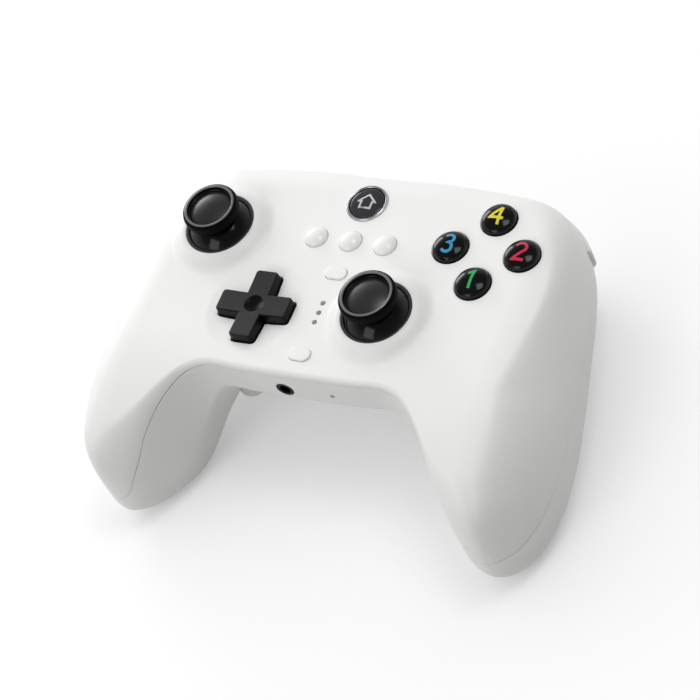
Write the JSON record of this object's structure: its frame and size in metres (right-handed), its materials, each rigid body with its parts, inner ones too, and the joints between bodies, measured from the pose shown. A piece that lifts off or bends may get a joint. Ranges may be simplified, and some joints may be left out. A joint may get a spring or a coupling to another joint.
{
  "type": "gamepad controller",
  "caption": "Two-handed white gamepad with offset thumb sticks, a direction cross, domed face buttons, shoulder bumpers, hooked triggers and rear paddles.",
  "frame": {"origin": "on the table under the middle of the outline", "axes": "+X to the right hand, +Y to the top edge with the bumpers, +Z out of the face"},
  "size_m": [0.1468, 0.1044, 0.0612],
  "materials": {
    "white_plastic": "fine satin moulded shell",
    "white_button": "satin moulded button",
    "black_gloss": "polished black",
    "black_satin": "satin black",
    "grey_plastic": "satin grey",
    "light_pipe": "frosted clear",
    "steel": "bright",
    "silver_ring": "satin silver",
    "silicone": "soft silicone",
    "board_green": "lacquered board",
    "battery_wrap": "film wrap"
  },
  "bodies": {
    "housing": {"front_shell": "white_plastic", "rear_shell": "white_plastic", "shell_screws": "steel", "left_stick_ring": "grey_plastic", "right_stick_ring": "grey_plastic", "home_ring": "silver_ring", "status_lights": "light_pipe", "charge_light": "light_pipe", "jack_socket": "black_satin", "usb_socket": "steel", "main_board": "board_green", "board_screws": "steel", "face_button_pad": "silicone", "dpad_pad": "silicone", "menu_pad": "silicone", "bumper_switches": "black_satin", "paddle_switches": "black_satin", "left_rumble_motor": "steel", "right_rumble_motor": "steel", "battery_pack": "battery_wrap", "trigger_pins": "steel", "trigger_springs": "steel", "left_stick_housing": "steel", "right_stick_housing": "steel", "left_stick_sensors": "black_satin", "right_stick_sensors": "black_satin"},
    "cross_pivot": {"dpad_pivot": "silicone"},
    "cross": {"dpad_cross": "black_satin"},
    "button_south": {"button_south": "black_gloss"},
    "button_east": {"button_east": "black_gloss"},
    "button_west": {"button_west": "black_gloss"},
    "button_north": {"button_north": "black_gloss"},
    "home_button": {"home_button": "black_gloss"},
    "menu_button_left": {"menu_button_left": "white_button"},
    "menu_button_middle": {"menu_button_middle": "white_button"},
    "menu_button_right": {"menu_button_right": "white_button"},
    "upper_pill_button": {"upper_pill_button": "white_button"},
    "lower_pill_button": {"lower_pill_button": "white_button"},
    "left_bumper": {"left_bumper": "white_plastic"},
    "right_bumper": {"right_bumper": "white_plastic"},
    "left_trigger": {"left_trigger": "white_plastic"},
    "right_trigger": {"right_trigger": "white_plastic"},
    "left_paddle": {"left_paddle": "white_plastic"},
    "right_paddle": {"right_paddle": "white_plastic"},
    "left_rumble_weight": {"left_rumble_weight": "steel"},
    "right_rumble_weight": {"right_rumble_weight": "steel"},
    "left_gimbal": {"left_stick_gimbal": "grey_plastic"},
    "left_rocker": {"left_stick_rocker": "grey_plastic"},
    "left_cap": {"left_stick_cap": "black_satin", "left_stick_stem": "steel"},
    "right_gimbal": {"right_stick_gimbal": "grey_plastic"},
    "right_rocker": {"right_stick_rocker": "grey_plastic"},
    "right_cap": {"right_stick_cap": "black_satin", "right_stick_stem": "steel"}
  },
  "joints": [
    {"name": "button_south_press", "type": "slide", "parent": "housing", "child": "button_south", "axis": [0, 0, -1], "range_m": [0, 0.0014], "stiffness_N_per_m": 500},
    {"name": "button_east_press", "type": "slide", "parent": "housing", "child": "button_east", "axis": [0, 0, -1], "range_m": [0, 0.0014], "stiffness_N_per_m": 500},
    {"name": "button_west_press", "type": "slide", "parent": "housing", "child": "button_west", "axis": [0, 0, -1], "range_m": [0, 0.0014], "stiffness_N_per_m": 500},
    {"name": "button_north_press", "type": "slide", "parent": "housing", "child": "button_north", "axis": [0, 0, -1], "range_m": [0, 0.0014], "stiffness_N_per_m": 500},
    {"name": "home_button_press", "type": "slide", "parent": "housing", "child": "home_button", "axis": [0, 0, -1], "range_m": [0, 0.0008], "stiffness_N_per_m": 500},
    {"name": "menu_button_left_press", "type": "slide", "parent": "housing", "child": "menu_button_left", "axis": [0, 0, -1], "range_m": [0, 0.0008], "stiffness_N_per_m": 500},
    {"name": "menu_button_middle_press", "type": "slide", "parent": "housing", "child": "menu_button_middle", "axis": [0, 0, -1], "range_m": [0, 0.0008], "stiffness_N_per_m": 500},
    {"name": "menu_button_right_press", "type": "slide", "parent": "housing", "child": "menu_button_right", "axis": [0, 0, -1], "range_m": [0, 0.0008], "stiffness_N_per_m": 500},
    {"name": "upper_pill_button_press", "type": "slide", "parent": "housing", "child": "upper_pill_button", "axis": [0, 0, -1], "range_m": [0, 0.0008], "stiffness_N_per_m": 500},
    {"name": "lower_pill_button_press", "type": "slide", "parent": "housing", "child": "lower_pill_button", "axis": [0, 0, -1], "range_m": [0, 0.0008], "stiffness_N_per_m": 500},
    {"name": "cross_pitch", "type": "hinge", "parent": "housing", "child": "cross_pivot", "pos_m": [-0.0198, -0.0028, 0.0448], "axis": [1, 0, 0], "range_deg": [-4, 4], "stiffness_Nm_per_rad": 0.12},
    {"name": "cross_roll", "type": "hinge", "parent": "cross_pivot", "child": "cross", "pos_m": [-0.0198, -0.0028, 0.0448], "axis": [0, 1, 0], "range_deg": [-4, 4], "stiffness_Nm_per_rad": 0.12},
    {"name": "left_stick_pitch", "type": "hinge", "parent": "housing", "child": "left_gimbal", "pos_m": [-0.042, 0.0222, 0.0448], "axis": [1, 0, 0], "range_deg": [-18, 18], "stiffness_Nm_per_rad": 0.06},
    {"name": "left_stick_roll", "type": "hinge", "parent": "left_gimbal", "child": "left_rocker", "pos_m": [-0.042, 0.0222, 0.0448], "axis": [0, 1, 0], "range_deg": [-18, 18], "stiffness_Nm_per_rad": 0.06},
    {"name": "left_stick_click", "type": "slide", "parent": "left_rocker", "child": "left_cap", "axis": [0, 0, -1], "range_m": [0, 0.0005], "stiffness_N_per_m": 4000},
    {"name": "right_stick_pitch", "type": "hinge", "parent": "housing", "child": "right_gimbal", "pos_m": [0.0186, -0.0004, 0.0448], "axis": [1, 0, 0], "range_deg": [-18, 18], "stiffness_Nm_per_rad": 0.06},
    {"name": "right_stick_roll", "type": "hinge", "parent": "right_gimbal", "child": "right_rocker", "pos_m": [0.0186, -0.0004, 0.0448], "axis": [0, 1, 0], "range_deg": [-18, 18], "stiffness_Nm_per_rad": 0.06},
    {"name": "right_stick_click", "type": "slide", "parent": "right_rocker", "child": "right_cap", "axis": [0, 0, -1], "range_m": [0, 0.0005], "stiffness_N_per_m": 4000},
    {"name": "left_bumper_press", "type": "hinge", "parent": "housing", "child": "left_bumper", "pos_m": [-0.0335, 0.046, 0.033], "axis": [0, 0, 1], "range_deg": [0, 1.5], "stiffness_Nm_per_rad": 2},
    {"name": "left_trigger_pull", "type": "hinge", "parent": "housing", "child": "left_trigger", "pos_m": [-0.041, 0.0359, 0.027], "axis": [-1, 0, 0], "range_deg": [0, 16], "stiffness_Nm_per_rad": 0.4},
    {"name": "left_paddle_press", "type": "hinge", "parent": "housing", "child": "left_paddle", "pos_m": [-0.0335, 0.0066, 0.017], "axis": [-1, 0, 0], "range_deg": [0, 3], "stiffness_Nm_per_rad": 1.5},
    {"name": "left_weight_spin", "type": "hinge", "parent": "housing", "child": "left_rumble_weight", "pos_m": [-0.057, -0.025, 0.02], "axis": [0, 1, 0], "continuous": true},
    {"name": "right_bumper_press", "type": "hinge", "parent": "housing", "child": "right_bumper", "pos_m": [0.0335, 0.046, 0.033], "axis": [0, 0, -1], "range_deg": [0, 1.5], "stiffness_Nm_per_rad": 2},
    {"name": "right_trigger_pull", "type": "hinge", "parent": "housing", "child": "right_trigger", "pos_m": [0.041, 0.0359, 0.027], "axis": [-1, 0, 0], "range_deg": [0, 16], "stiffness_Nm_per_rad": 0.4},
    {"name": "right_paddle_press", "type": "hinge", "parent": "housing", "child": "right_paddle", "pos_m": [0.0335, 0.0066, 0.017], "axis": [-1, 0, 0], "range_deg": [0, 3], "stiffness_Nm_per_rad": 1.5},
    {"name": "right_weight_spin", "type": "hinge", "parent": "housing", "child": "right_rumble_weight", "pos_m": [0.057, -0.025, 0.02], "axis": [0, 1, 0], "continuous": true}
  ]
}
